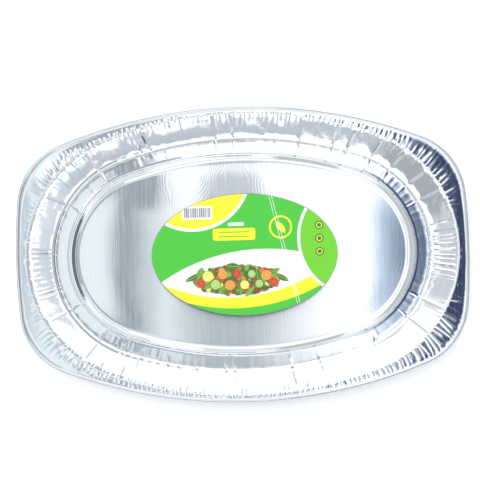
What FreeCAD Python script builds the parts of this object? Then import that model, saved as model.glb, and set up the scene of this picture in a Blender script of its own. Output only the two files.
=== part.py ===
"""Oval foil catering platter with a printed card label lying in it.

Units are millimetres. +X runs along the platter, +Y across it and +Z up.
The origin is under the middle of the platter, on the plane it stands on.
"""
import FreeCAD, Part

import math
import os

from FreeCAD import Vector

# ---- driving dimensions -----------------------------------------------------
# whole platter
platter_length = 430.0
platter_width = 280.0
platter_height = 21.0
foil_thickness = 0.10

# outline of the rim: bowed sides and ends joined by round corners
# (a bow is how far the middle of a side stands out past the corners beside it)
rim_corner_radius = 64.0
rim_side_bow = 28.0
rim_end_bow = 2.0

# rim rolled under itself: it stands proud of the flange, round a small bend
curl_diameter = 3.6
curl_rise = 0.8
curl_bend_radius = 0.5
curl_turn = 260.0

# mouth of the basin, where the wall meets the flange: bowed sides and round ends
# (a shoulder is where a side of the rim runs into a corner)
flange_width_at_end = 10.5
flange_width_at_side = 6.5
flange_width_at_shoulder = 13.5
mouth_bend_radius = 1.8

# wall and the flat gutter at its foot
wall_run = 18.5
wall_foot_radius = 7.0
gutter_width = 15.0

# raised bead pressed round the floor
bead_width = 8.0
bead_top_width = 3.0
bead_height = 1.3
bead_bend_radius = 1.5

# printed card label
label_length = 183.0
label_width = 119.0
label_thickness = 0.30
label_shift_x = 2.0
label_shift_y = -0.5

# ---- sizes that follow from them --------------------------------------------
mouth_length = platter_length - 2 * flange_width_at_end
mouth_width = platter_width - 2 * flange_width_at_side
flange_top = platter_height - curl_rise
flange_underside = flange_top - foil_thickness
curl_radius = curl_diameter / 2
curl_and_bend = curl_radius + curl_bend_radius
bend_reach = math.sqrt(curl_and_bend ** 2 - (curl_and_bend - curl_rise) ** 2)
curl_width = curl_radius + bend_reach
bead_outer_edge = wall_run + gutter_width
bead_inner_edge = bead_outer_edge + bead_width
bead_slope_run = (bead_width - bead_top_width) / 2
floor_inset = bead_inner_edge + 2 * bead_bend_radius
flange_inset = mouth_bend_radius + foil_thickness


# ---- ovals ------------------------------------------------------------------
# An oval is a list of arcs (centre, radius, start, sweep) in order round it, in degrees.
def bow_radius(reach, bow, corner_radius):
    """Radius of a bowed side that runs into corner arcs centred at this reach along it."""
    return corner_radius + (reach ** 2 / bow + bow) / 2


def bow_angle(reach, bow, corner_radius):
    """Half of the angle such a bowed side turns through."""
    depth = bow_radius(reach, bow, corner_radius) - corner_radius - bow
    return math.degrees(math.atan2(reach, depth))


def both_ways(arcs):
    """Add the same arcs again, turned half round."""
    return arcs + [(-centre, radius, start + 180, sweep) for centre, radius, start, sweep in arcs]


def cornered_oval(length, width, corner_radius, side_bow, end_bow):
    """Oval with bowed sides and ends and four round corners."""
    along = length / 2 - end_bow - corner_radius
    across = width / 2 - side_bow - corner_radius
    side_radius = bow_radius(along, side_bow, corner_radius)
    side_half = bow_angle(along, side_bow, corner_radius)
    end_radius = bow_radius(across, end_bow, corner_radius)
    end_half = bow_angle(across, end_bow, corner_radius)
    turn = 90 - side_half - end_half
    return both_ways([
        (Vector(length / 2 - end_radius, 0, 0), end_radius, -end_half, 2 * end_half),
        (Vector(along, across, 0), corner_radius, end_half, turn),
        (Vector(0, width / 2 - side_radius, 0), side_radius, 90 - side_half, 2 * side_half),
        (Vector(-along, across, 0), corner_radius, 90 + side_half, turn),
    ])


def round_ended_oval(length, width, side_radius):
    """Oval with bowed sides and, tangent to them, an arc for each end."""
    side_depth = side_radius - width / 2
    end_radius = side_radius ** 2 - (length / 2) ** 2 - side_depth ** 2
    end_radius = end_radius / (2 * side_radius - length)
    along = length / 2 - end_radius
    side_half = math.degrees(math.atan2(along, side_depth))
    return both_ways([
        (Vector(along, 0, 0), end_radius, side_half - 90, 180 - 2 * side_half),
        (Vector(0, -side_depth, 0), side_radius, 90 - side_half, 2 * side_half),
    ])


def mouth_oval(rim):
    """Mouth set inward from the rim by the flange's width at end, side and shoulder."""
    side_centre, side_radius, _, side_sweep = rim[2]
    shoulder_angle = math.radians(side_sweep / 2)
    distance = side_radius - flange_width_at_shoulder
    across = distance * math.sin(shoulder_angle)
    fall = mouth_width / 2 - side_centre.y - distance * math.cos(shoulder_angle)
    mouth_side_radius = (across ** 2 + fall ** 2) / (2 * fall)
    return round_ended_oval(mouth_length, mouth_width, mouth_side_radius)


def grown(arcs, distance):
    """Move an oval outward by a distance (inward where it is negative)."""
    return [(centre, radius + distance, start, sweep) for centre, radius, start, sweep in arcs]


def oval_wire(arcs, height):
    """Draw an oval at a height."""
    edges = []
    for centre, radius, start, sweep in arcs:
        middle = centre + Vector(0, 0, height)
        edges.append(Part.makeCircle(radius, middle, Vector(0, 0, 1), start, start + sweep))
    return Part.Wire(edges)


def carried_round(section, arcs):
    """Carry a section's edges round an oval: each makes one face of revolution per arc.

    The section lies in the XZ plane, with X measured outward from the oval.
    """
    faces = []
    axis = Vector(0, 0, 1)
    for centre, radius, start, sweep in arcs:
        for edge in section:
            line = edge.copy()
            line.translate(Vector(radius, 0, 0))
            line.rotate(Vector(0, 0, 0), axis, start)
            swept = line.revolve(Vector(0, 0, 0), axis, sweep)
            swept.translate(centre)
            faces.extend(swept.Faces)
    return faces


# ---- sections of the sheet --------------------------------------------------
def bent_path(corners):
    """Draw a line through (x, z, bend radius) corners, each rounded by its radius."""
    points = [Vector(x, 0, z) for x, z, _ in corners]
    edges = []
    last = points[0]
    for index in range(1, len(points) - 1):
        back = (points[index - 1] - points[index]).normalize()
        ahead = (points[index + 1] - points[index]).normalize()
        half_angle = back.getAngle(ahead) / 2
        radius = corners[index][2]
        setback = radius / math.tan(half_angle)
        enters = points[index] + back * setback
        leaves = points[index] + ahead * setback
        inward = (back + ahead).normalize()
        centre = points[index] + inward * (radius / math.sin(half_angle))
        edges.append(Part.makeLine(last, enters))
        edges.append(Part.Arc(enters, centre - inward * radius, leaves).toShape())
        last = leaves
    edges.append(Part.makeLine(last, points[-1]))
    return edges


def raised(corners, thickness):
    """Shift a bent line by a thickness to its upper side, its bends kept concentric."""
    points = [Vector(x, 0, z) for x, z, _ in corners]
    normals = []
    for start, end in zip(points, points[1:]):
        run = (end - start).normalize()
        normals.append(Vector(-run.z, 0, run.x))
    shifted = [(points[0].x, points[0].z + thickness, 0)]
    for index in range(1, len(points) - 1):
        before = normals[index - 1]
        after = normals[index]
        mitre = (before + after) * (thickness / (1 + before.dot(after)))
        turns_up = before.x > after.x
        radius = corners[index][2] + (-thickness if turns_up else thickness)
        shifted.append((points[index].x + mitre.x, points[index].z + mitre.z, radius))
    shifted.append((points[-1].x, points[-1].z + thickness, 0))
    return shifted


def basin_section():
    """Both sides of the sheet, from the floor over the bead, gutter and wall to the flange."""
    underside = [
        (-floor_inset, 0, 0),
        (-bead_inner_edge, 0, bead_bend_radius),
        (-bead_inner_edge + bead_slope_run, bead_height, bead_bend_radius),
        (-bead_outer_edge - bead_slope_run, bead_height, bead_bend_radius),
        (-bead_outer_edge, 0, bead_bend_radius),
        (-wall_run, 0, wall_foot_radius),
        (0, flange_underside, mouth_bend_radius),
        (flange_inset, flange_underside, 0),
    ]
    return bent_path(underside) + bent_path(raised(underside, foil_thickness))


def curl_section():
    """The rim's two sides and its edge: bent up from the flange, then rolled out and under.

    The roll and the bend touch where the line between their centres crosses the sheet.
    """
    roll_centre = Vector(-curl_radius, 0, platter_height - curl_radius)
    bend_centre = Vector(-curl_width, 0, flange_top + curl_bend_radius)
    lean = math.degrees(math.atan2(bend_reach, curl_and_bend - curl_rise))

    def around(centre, radius, turned):
        angle = math.radians(90 - turned)
        return centre + Vector(radius * math.cos(angle), 0, radius * math.sin(angle))

    def arc(centre, radius, start, end):
        points = [around(centre, radius, turned) for turned in (start, (start + end) / 2, end)]
        return Part.Arc(*points).toShape()

    upper = curl_radius
    lower = curl_radius - foil_thickness
    rolled_edge = Part.makeLine(
        around(roll_centre, upper, curl_turn), around(roll_centre, lower, curl_turn)
    )
    return [
        arc(bend_centre, curl_bend_radius, 180, 180 - lean),
        arc(bend_centre, curl_bend_radius + foil_thickness, 180, 180 - lean),
        arc(roll_centre, upper, -lean, curl_turn),
        arc(roll_centre, lower, -lean, curl_turn),
        rolled_edge,
    ]


# ---- pieces -----------------------------------------------------------------
def foil_platter():
    """One pressed sheet: floor, bead, gutter, wall, flange and rolled rim."""
    rim = cornered_oval(
        platter_length, platter_width, rim_corner_radius, rim_side_bow, rim_end_bow
    )
    mouth = mouth_oval(rim)
    faces = carried_round(basin_section(), mouth) + carried_round(curl_section(), rim)
    for lift in (0, foil_thickness):
        floor_edge = oval_wire(grown(mouth, -floor_inset), lift)
        faces.append(Part.Face(floor_edge))
        flange_edge = oval_wire(grown(rim, -curl_width), flange_underside + lift)
        flange_hole = oval_wire(grown(mouth, flange_inset), flange_underside + lift)
        faces.append(Part.makeFace([flange_edge, flange_hole], "Part::FaceMakerBullseye"))
    shell = Part.makeShell(faces)
    shell.sewShape()
    return Part.makeSolid(shell)


def printed_label():
    """Oval card lying flat on the floor, inside the bead."""
    centre = Vector(label_shift_x, label_shift_y, foil_thickness)
    outline = Part.Ellipse(centre, label_length / 2, label_width / 2).toShape()
    return Part.Face(Part.Wire(outline)).extrude(Vector(0, 0, label_thickness))


os.makedirs("parts", exist_ok=True)
foil_platter().exportStep("parts/foil_platter.step")
printed_label().exportStep("parts/printed_label.step")
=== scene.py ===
"""Oval foil catering platter with a printed card label lying in it.

The platter is one thin sheet, with the crimps and pleats that pressing leaves and a rolled rim.
The label is a thin card that has warped and been creased. Units are metres, +Z is up and +X
runs along the platter.
"""

import math

import bmesh
import bpy
import numpy as np
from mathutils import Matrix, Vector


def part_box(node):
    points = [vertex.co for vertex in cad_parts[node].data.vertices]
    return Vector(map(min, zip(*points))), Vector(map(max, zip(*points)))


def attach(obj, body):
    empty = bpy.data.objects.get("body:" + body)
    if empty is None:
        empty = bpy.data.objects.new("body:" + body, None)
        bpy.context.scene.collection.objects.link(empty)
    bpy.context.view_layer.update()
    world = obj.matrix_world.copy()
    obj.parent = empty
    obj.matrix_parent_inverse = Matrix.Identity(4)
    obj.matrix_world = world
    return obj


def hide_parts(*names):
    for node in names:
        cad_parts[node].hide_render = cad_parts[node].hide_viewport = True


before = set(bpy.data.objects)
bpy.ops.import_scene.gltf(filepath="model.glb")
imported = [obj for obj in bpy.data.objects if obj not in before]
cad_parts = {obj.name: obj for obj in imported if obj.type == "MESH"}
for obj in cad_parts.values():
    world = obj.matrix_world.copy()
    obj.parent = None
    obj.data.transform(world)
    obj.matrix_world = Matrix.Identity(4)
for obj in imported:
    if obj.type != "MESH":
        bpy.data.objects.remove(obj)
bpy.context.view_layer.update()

MM = 0.001
BODY = "root"

# ---- sizes of the platter ------------------------------------------------------------
# it is centred on the origin, so its highest corner gives half its length and width
HALF_LENGTH, HALF_WIDTH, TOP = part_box("foil_platter")[1]
SHEET = 0.10 * MM

RIM_CORNER = 64 * MM
RIM_SIDE_BOW = 28 * MM
RIM_END_BOW = 2 * MM

CURL_RADIUS = 1.8 * MM
CURL_RISE = 0.8 * MM
CURL_BEND = 0.5 * MM
CURL_TURN = 260

FLANGE_AT_END = 10.5 * MM
FLANGE_AT_SIDE = 6.5 * MM
FLANGE_AT_SHOULDER = 13.5 * MM
MOUTH_BEND = 1.8 * MM

WALL_RUN = 18.5 * MM
WALL_FOOT_BEND = 7 * MM
GUTTER = 15 * MM
BEAD_WIDTH = 8 * MM
BEAD_TOP = 3 * MM
BEAD_HEIGHT = 1.3 * MM
BEAD_BEND = 1.5 * MM
# its top is pressed a little wider, and leans towards the middle, in degrees
BEAD_TOP_SHOWN = BEAD_TOP + 1.4 * MM
BEAD_LEAN = 6.5

FLANGE_LEVEL = TOP - CURL_RISE
CURL_AND_BEND = CURL_RADIUS + CURL_BEND
BEND_REACH = math.sqrt(CURL_AND_BEND ** 2 - (CURL_AND_BEND - CURL_RISE) ** 2)
CURL_WIDTH = CURL_RADIUS + BEND_REACH
BEAD_OUTSIDE = WALL_RUN + GUTTER
BEAD_INSIDE = BEAD_OUTSIDE + BEAD_WIDTH
BEAD_SLOPE = (BEAD_WIDTH - BEAD_TOP_SHOWN) / 2
FLOOR_INSET = BEAD_INSIDE + 2 * BEAD_BEND

# ---- sizes of the label --------------------------------------------------------------
LABEL_LOW, LABEL_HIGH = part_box("printed_label")
LABEL_X = (LABEL_LOW[0] + LABEL_HIGH[0]) / 2
LABEL_Y = (LABEL_LOW[1] + LABEL_HIGH[1]) / 2
LABEL_HALF_LENGTH = (LABEL_HIGH[0] - LABEL_LOW[0]) / 2
LABEL_HALF_WIDTH = (LABEL_HIGH[1] - LABEL_LOW[1]) / 2
CARD = LABEL_HIGH[2] - LABEL_LOW[2]

# ---- folds that pressing leaves in the sheet -----------------------------------------
# Bearings are in degrees round the platter, from +X towards +Y.
CRIMPS = 240
CRIMP_PITCH = 4.4 * MM
END_PITCH = 5.2 * MM
END_PLEATS_REACH = 32 * MM
LEFT_PLEATS_SHIFT = -14 * MM
CRIMP_PLAY = 0.26
NARROW_CRIMP = 0.6 * MM
# height of the crimps on the flange, and how far they spread into facets, by bearing
FLANGE_CRIMPS = (
    (-180, 0.02), (-162, 0.04), (-155, 0.26), (-140, 0.32), (-118, 0.34), (-92, 0.24),
    (-64, 0.22), (-48, 0.36), (-38, 0.50), (-22, 0.40), (-12, 0.10), (-7, 0.04), (7, 0.04),
    (14, 0.12), (20, 0.15), (40, 0.20), (55, 0.24), (75, 0.10), (105, 0.10), (122, 0.20),
    (135, 0.24), (150, 0.24), (160, 0.06), (180, 0.02),
)
# how far the crimps reach across the flange, by bearing
CRIMP_REACH = (
    (-180, 0.5), (-150, 0.7), (-100, 0.75), (-20, 1.1), (10, 0.9), (70, 0.8), (118, 0.7),
    (132, 0.55), (158, 0.45), (180, 0.5),
)
FACET_SPREAD = ((-180, 0), (-145, 0.1), (-60, 0.3), (-45, 0.8), (-20, 1), (-8, 0.2), (180, 0))
# bearings of the deep pleats that run all the way down the wall
DEEP_PLEATS = (
    16, 23, 31, 38, 47, 53, 66, 94, 101, 127, 131, 146, 162,
    198, 212, 221, 228, 237, 241, 249, 261, 267, 290, 301, 322, 336, 344,
)
SEED = 11
# From and to for what is drawn at random for each fold. Heights and widths here are in mm.
FLANGE_PLAY = (0.45, 1.3)
REACH_PLAY = (0.7, 1.15)
LEAN_PLAY = (-0.16, 0.16)
FRINGE_HEIGHTS = (0.08, 0.6)
END_PLEAT_HEIGHTS = (0.3, 0.6)
DEEP_HEIGHTS = (0.44, 0.62)
DEEP_HALF_WIDTHS = (1.8, 2.4)
DEEP_GUTTER_REACH = (0.25, 0.6)
# how far over the gutter the other crimps reach, and down the wall the fringe: least, and more
GUTTER_REACH = 0.1
FRINGE_REACH = 0.15
FRINGE_REACH_MORE = 0.75
# a deep pleat may wander further along the mouth on its way down, in mm
SLANT = 0.6
DEEP_SLANT_MORE = 1.8
# crimps of the two sides fan out towards the rim's ends
SIDE_FAN = 0.35
# a fold's half width, as a share of the room beside it, and the least gap between two folds
WIDEST_CRIMP = 0.46
THIN_FOLD = 0.08 * MM

# the wall swells out between deep pleats on the left and middle, and in on the right
BILLOW = 0.7 * MM
BILLOW_OUT = (0.1, 0.4)
BILLOW_IN = (0.2, 0.8)
BILLOW_OUT_UP_TO = 40 * MM
# a wider stretch between two pleats swells more, up to this share of the full swell
BILLOW_SPAN = 30 * MM
BILLOW_MOST = 1.2
# small unevenness, and from and to of its wave lengths: of the basin, the flange and the rim
RUMPLE = 0.045 * MM
RUMPLE_LENGTHS = (7 * MM, 22 * MM)
RUMPLE_FADE = 4 * MM
FLANGE_RUMPLE = 0.022 * MM
FLANGE_LENGTHS = (9 * MM, 26 * MM)
DENT = 0.12 * MM
DENT_LENGTHS = (9 * MM, 40 * MM)
WAVES = 14

# ---- rows and edges of the mesh ------------------------------------------------------
BEAD_ROWS = 15
FLANGE_ROWS = 5
CURL_STEPS = 12
FLOOR_RINGS = 15
FARTHEST_EDGE = 40 * MM
EDGE_HALVINGS = 40
EDGE_SMOOTHINGS = 3
MOUTH_STEPS = 6001
SHARP_BEND = math.radians(50)
SHARP_FOLD = math.radians(11)
# distance out from the mouth that stands for the whole rolled rim
CURL_START = 50 * MM
# texture layout, as shares of its width: one panel for each side, and strips for the rim
PANEL_SCALE = 0.74 / (2 * HALF_LENGTH)
PANEL_EDGE = 0.01
PANEL_STEP = 0.5
STRIPS = 8
STRIP_START = 0.77
STRIP_LENGTH = 0.22
STRIP_STEP = 0.055
STRIP_ROW = 0.0022


# ---- small tools ---------------------------------------------------------------------
def smooth_step(low, high, value):
    """0 below low, 1 above high, and a smooth rise between them."""
    part = np.clip((value - low) / (high - low), 0, 1)
    return part * part * (3 - 2 * part)


def by_bearing(table, bearing):
    """Read a table of (bearing, value) pairs that closes on itself."""
    places, values = zip(*table)
    return np.interp(bearing, places, values, period=360)


def ripples(x, y, lengths, seed):
    """Smooth random waves over a plane, mostly between -1 and 1, with lengths from and to."""
    draw = np.random.default_rng(seed)
    total = np.zeros(np.broadcast(x, y).shape)
    for _ in range(WAVES):
        turn, phase = draw.uniform(0, 2 * math.pi, 2)
        wave = 2 * math.pi / draw.uniform(*lengths)
        total += np.sin(wave * (x * math.cos(turn) + y * math.sin(turn)) + phase)
    return total / math.sqrt(WAVES)


# ---- ovals ---------------------------------------------------------------------------
def bowed(reach, bow, corner):
    """Radius and half angle of a bowed side between corner arcs centred at this reach."""
    radius = corner + (reach ** 2 / bow + bow) / 2
    return radius, math.atan2(reach, radius - corner - bow)


RIM_ALONG = HALF_LENGTH - RIM_END_BOW - RIM_CORNER
RIM_ACROSS = HALF_WIDTH - RIM_SIDE_BOW - RIM_CORNER
RIM_SIDE, RIM_SIDE_ANGLE = bowed(RIM_ALONG, RIM_SIDE_BOW, RIM_CORNER)
RIM_END, RIM_END_ANGLE = bowed(RIM_ACROSS, RIM_END_BOW, RIM_CORNER)


def rim_reach(x, y):
    """Distance outside the rim's outline, and the outward direction there."""
    side_x, side_y = np.abs(x), np.abs(y) - (HALF_WIDTH - RIM_SIDE)
    end_x, end_y = np.abs(x) - (HALF_LENGTH - RIM_END), np.abs(y)
    on_side = np.arctan2(side_x, side_y) < RIM_SIDE_ANGLE
    on_end = np.arctan2(end_y, end_x) < RIM_END_ANGLE
    across = np.where(on_side, side_x, np.where(on_end, end_x, np.abs(x) - RIM_ALONG))
    up = np.where(on_side, side_y, np.where(on_end, end_y, np.abs(y) - RIM_ACROSS))
    radius = np.where(on_side, RIM_SIDE, np.where(on_end, RIM_END, RIM_CORNER))
    far = np.hypot(across, up)
    return far - radius, np.copysign(across / far, x), np.copysign(up / far, y)


def mouth_arcs():
    """Side radius and depth, end radius and reach of the mouth, set inward from the rim."""
    distance = RIM_SIDE - FLANGE_AT_SHOULDER
    across = distance * math.sin(RIM_SIDE_ANGLE)
    level = HALF_WIDTH - RIM_SIDE + distance * math.cos(RIM_SIDE_ANGLE)
    half_width = HALF_WIDTH - FLANGE_AT_SIDE
    half_length = HALF_LENGTH - FLANGE_AT_END
    fall = half_width - level
    side = (across ** 2 + fall ** 2) / (2 * fall)
    depth = side - half_width
    end = (side ** 2 - half_length ** 2 - depth ** 2) / (2 * (side - half_length))
    return side, depth, end, half_length - end


MOUTH_SIDE, MOUTH_DEPTH, MOUTH_END, MOUTH_ALONG = mouth_arcs()
MOUTH_SIDE_ANGLE = math.atan2(MOUTH_ALONG, MOUTH_DEPTH)
MOUTH_END_ARC = MOUTH_END * (math.pi - 2 * MOUTH_SIDE_ANGLE)
MOUTH_LENGTH = 2 * (MOUTH_END_ARC + MOUTH_SIDE * 2 * MOUTH_SIDE_ANGLE)


def walk_mouth(places):
    """Points and outward directions at distances along the mouth, from the +X end."""
    half = MOUTH_LENGTH / 2
    start = np.mod(places + MOUTH_END_ARC / 2, MOUTH_LENGTH)
    turned = start >= half
    start = np.where(turned, start - half, start)
    on_end = start < MOUTH_END_ARC
    end_angle = (start - MOUTH_END_ARC / 2) / MOUTH_END
    side_angle = math.pi / 2 - MOUTH_SIDE_ANGLE + (start - MOUTH_END_ARC) / MOUTH_SIDE
    angle = np.where(on_end, end_angle, side_angle)
    radius = np.where(on_end, MOUTH_END, MOUTH_SIDE)
    flip = np.where(turned, -1, 1)
    nx, ny = flip * np.cos(angle), flip * np.sin(angle)
    x = flip * np.where(on_end, MOUTH_ALONG, 0) + radius * nx
    y = flip * np.where(on_end, 0, -MOUTH_DEPTH) + radius * ny
    return x, y, nx, ny


# ---- the floor, which both the sheet and the label follow ----------------------------
FLOOR_CROWN = 0.2 * MM
CROWN_REACH = 20 * MM
FLOOR_WAVE = 0.07 * MM
FLOOR_LENGTHS = (34 * MM, 80 * MM)


def floor_height(x, y, inward):
    """Top of the floor: lowest beside the bead, a little crowned and wavy inside it."""
    crown = 1 - np.exp(-inward / CROWN_REACH)
    waves = 1 + ripples(x, y, FLOOR_LENGTHS, 3) / 2
    return SHEET + FLOOR_CROWN * crown + FLOOR_WAVE * waves * smooth_step(0, CROWN_REACH, inward)


# ---- section of the sheet ------------------------------------------------------------
def bent_line(corners):
    """Points along (offset, height, bend radius, steps before, steps round) corners."""
    points = [np.array(corner[:2]) for corner in corners]
    line = [points[0]]

    def run_to(end, runs):
        shares = runs if isinstance(runs, tuple) else np.arange(1, runs + 1) / runs
        return [line[-1] + (end - line[-1]) * share for share in shares]

    for index in range(1, len(points)):
        corner = points[index]
        radius, runs, turns = corners[index][2:]
        back = (points[index - 1] - corner) / np.linalg.norm(points[index - 1] - corner)
        if index == len(points) - 1:
            line += run_to(corner, runs)
            break
        ahead = (points[index + 1] - corner) / np.linalg.norm(points[index + 1] - corner)
        half = math.acos(back @ ahead) / 2
        inward = (back + ahead) / np.linalg.norm(back + ahead)
        centre = corner + inward * radius / math.sin(half)
        enters = corner + back * radius / math.tan(half)
        line += run_to(enters, runs)
        spoke = enters - centre
        turn = math.pi - 2 * half
        turn = math.copysign(turn, spoke[0] * ahead[1] - spoke[1] * ahead[0])
        for angle in turn * np.arange(1, turns + 1) / turns:
            c, s = math.cos(angle), math.sin(angle)
            turned = (c * spoke[0] - s * spoke[1], s * spoke[0] + c * spoke[1])
            line.append(centre + turned)
    return np.array(line)


def basin_line():
    """Top side from the floor's edge over the bead, gutter and wall to the flange."""
    low, high = SHEET, FLANGE_LEVEL
    bead_high = low + BEAD_HEIGHT
    lean = BEAD_TOP_SHOWN / 2 * math.tan(math.radians(BEAD_LEAN))
    return bent_line([
        (-FLOOR_INSET, low, 0, 0, 0),
        (-BEAD_INSIDE, low, BEAD_BEND, 1, 2),
        (-BEAD_INSIDE + BEAD_SLOPE, bead_high - lean, BEAD_BEND, 1, 2),
        (-BEAD_OUTSIDE - BEAD_SLOPE, bead_high + lean, BEAD_BEND, (0.1, 0.9, 1.0), 2),
        (-BEAD_OUTSIDE, low, BEAD_BEND, 1, 2),
        (-WALL_RUN, low, WALL_FOOT_BEND, 4, 4),
        (0, high, MOUTH_BEND, 6, 3),
        (MOUTH_BEND + SHEET, high, 0, 1, 0),
    ])


def curl_line():
    """Top side of the rolled rim, as offsets outward from the flange's edge and heights."""
    lean = math.degrees(math.atan2(BEND_REACH, CURL_AND_BEND - CURL_RISE))
    bend = [(180 - t * lean, CURL_BEND, 0, FLANGE_LEVEL + CURL_BEND) for t in (0.5, 1)]
    roll = np.linspace(-lean, CURL_TURN, CURL_STEPS)[1:]
    roll = [(turn, CURL_RADIUS, BEND_REACH, TOP - CURL_RADIUS) for turn in roll]
    line = []
    for turned, radius, middle, level in bend + roll:
        angle = math.radians(90 - turned)
        line.append((middle + radius * math.cos(angle), level + radius * math.sin(angle)))
    return np.array(line)


# ---- crimps and pleats ---------------------------------------------------------------
def bearing_of(x, y):
    """Bearing round the platter, in degrees."""
    return np.degrees(np.arctan2(y, x))


def crimp_places(draw):
    """Uneven places of the crimps along the mouth, closer together on the sides than at the ends."""
    fine = np.linspace(0, MOUTH_LENGTH, MOUTH_STEPS)
    _, y, _, _ = walk_mouth(fine)
    on_side = smooth_step(0.8, 1.1, abs(y) / END_PLEATS_REACH)
    pitch = END_PITCH + (CRIMP_PITCH - END_PITCH) * on_side
    passed = np.concatenate([[0], np.cumsum(1 / ((pitch[1:] + pitch[:-1]) / 2))])
    steps = np.arange(CRIMPS) + draw.uniform(-CRIMP_PLAY, CRIMP_PLAY, CRIMPS)
    places = np.interp(steps / CRIMPS * passed[-1], passed, fine)
    return np.sort(np.mod(places, MOUTH_LENGTH))


class Folds:
    """Where each crimp crosses the mouth, and how high and how long it is on flange and wall."""

    def __init__(self):
        draw = np.random.default_rng(SEED)
        self.place = crimp_places(draw)
        x, y, _, _ = walk_mouth(self.place)
        bearing = bearing_of(x, y)
        gap = np.diff(np.append(self.place, self.place[0] + MOUTH_LENGTH))
        room = np.minimum(gap, np.roll(gap, 1))

        spread = by_bearing(FACET_SPREAD, bearing)
        from_middle = abs(y - np.where(x < 0, LEFT_PLEATS_SHIFT, 0))
        end = smooth_step(1.0, 0.75, from_middle / END_PLEATS_REACH)
        side = smooth_step(0.5, 0.8, abs(y) / HALF_WIDTH)
        width = NARROW_CRIMP + (room / 2 - NARROW_CRIMP) * np.maximum(spread * 0.85, end * 0.55)
        self.half_width = np.minimum(width, room * WIDEST_CRIMP)

        self.flange = by_bearing(FLANGE_CRIMPS, bearing) * draw.uniform(*FLANGE_PLAY, CRIMPS) * MM
        self.flange_end = draw.uniform(*REACH_PLAY, CRIMPS) * by_bearing(CRIMP_REACH, bearing)
        self.lean = draw.uniform(*LEAN_PLAY, CRIMPS) * (1 + spread * 1.5)

        self.fringe = draw.uniform(*FRINGE_HEIGHTS, CRIMPS) * (0.5 + 0.5 * side) * MM
        self.fringe_end = FRINGE_REACH + FRINGE_REACH_MORE * draw.random(CRIMPS) ** 2
        self.wall = end * draw.uniform(*END_PLEAT_HEIGHTS, CRIMPS) * np.where(x < 0, 1, 1.5) * MM
        self.gutter = np.full(CRIMPS, GUTTER_REACH)
        self.deep = np.zeros(CRIMPS, dtype=bool)
        corner = smooth_step(0.55, 0.75, abs(x) / HALF_LENGTH)
        for pleat in DEEP_PLEATS:
            nearest = np.argmin(abs(np.mod(bearing - pleat + 180, 360) - 180))
            self.deep[nearest] = True
            self.wall[nearest] = draw.uniform(*DEEP_HEIGHTS) * MM
            half_width = draw.uniform(*DEEP_HALF_WIDTHS) * MM
            self.half_width[nearest] = min(half_width, room[nearest] * WIDEST_CRIMP)
            self.gutter[nearest] = draw.uniform(*DEEP_GUTTER_REACH) + 0.4 * corner[nearest]
        self.slant = draw.uniform(-1, 1, CRIMPS) * (SLANT + DEEP_SLANT_MORE * self.deep) * MM

    def columns(self):
        """Place of each column: a foot, the ridge, a foot and the middle of the gap after it."""
        after = np.append(self.place[1:], self.place[0] + MOUTH_LENGTH)
        middle = (self.place + self.half_width + after - np.roll(self.half_width, -1)) / 2
        feet = self.place - self.half_width, self.place + self.half_width
        return np.column_stack([feet[0], self.place, feet[1], middle]).ravel()

    def along(self, values):
        """Spread one value per crimp over its columns: full on ridge and feet, mixed in the gap."""
        gap = (values + np.roll(values, -1)) / 2
        return np.column_stack([values, values, values, gap]).ravel()

    def crest(self, offset):
        """Height of each crimp above the sheet, at an offset from the mouth."""
        down, wide = down_wall(offset), over_gutter(offset)
        wall = self.wall * (1 - smooth_step(0.8, 1.1, wide / self.gutter))
        wall = wall * (1 - 0.6 * smooth_step(0.6, 1, down))
        wall = wall * (0.3 + 0.7 * smooth_step(0, 0.16, down))
        fringe = self.fringe * (1 - smooth_step(0, 1, down / self.fringe_end))
        flange = self.flange * (1 - smooth_step(0, 0.12, down))
        return np.maximum(np.maximum(wall, fringe) * (offset < 0), flange)

    def billow(self, place):
        """Broad swelling of the wall at each place, between one deep pleat and the next."""
        draw = np.random.default_rng(SEED + 1)
        pleats = self.place[self.deep]
        x, _, _, _ = walk_mouth(pleats)
        outward = draw.uniform(*BILLOW_OUT, len(pleats))
        inward = draw.uniform(*BILLOW_IN, len(pleats))
        swell = np.where(x < BILLOW_OUT_UP_TO, outward, -inward)
        segment = np.searchsorted(pleats, np.mod(place, MOUTH_LENGTH)) % len(pleats)
        before = pleats[segment - 1]
        span = np.mod(pleats[segment] - before, MOUTH_LENGTH)
        passed = np.mod(place - before, MOUTH_LENGTH) / np.maximum(span, MM)
        broad = np.minimum(span / BILLOW_SPAN, BILLOW_MOST)
        return swell[segment] * np.sin(math.pi * np.clip(passed, 0, 1)) ** 0.8 * broad * BILLOW


def down_wall(offset):
    """0 at the mouth, 1 at the foot of the wall."""
    return np.clip(-offset / WALL_RUN, 0, 1)


def over_gutter(offset):
    """0 at the foot of the wall, 1 beside the bead."""
    return np.clip((-offset - WALL_RUN) / GUTTER, 0, 1)


def in_order(places):
    """Places along the mouth put in order, with no two closer than a thin fold."""
    apart = THIN_FOLD * np.arange(len(places))
    return np.maximum.accumulate(np.sort(places) - apart) + apart


# ---- mesh of the sheet ---------------------------------------------------------------
# Every ring below has four points for each crimp: foot, ridge, foot and gap.
RIDGE = np.tile([0.0, 1.0, 0.0, -0.05], CRIMPS)
FLANGE_PARTS = np.arange(1, FLANGE_ROWS + 1) / FLANGE_ROWS


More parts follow.
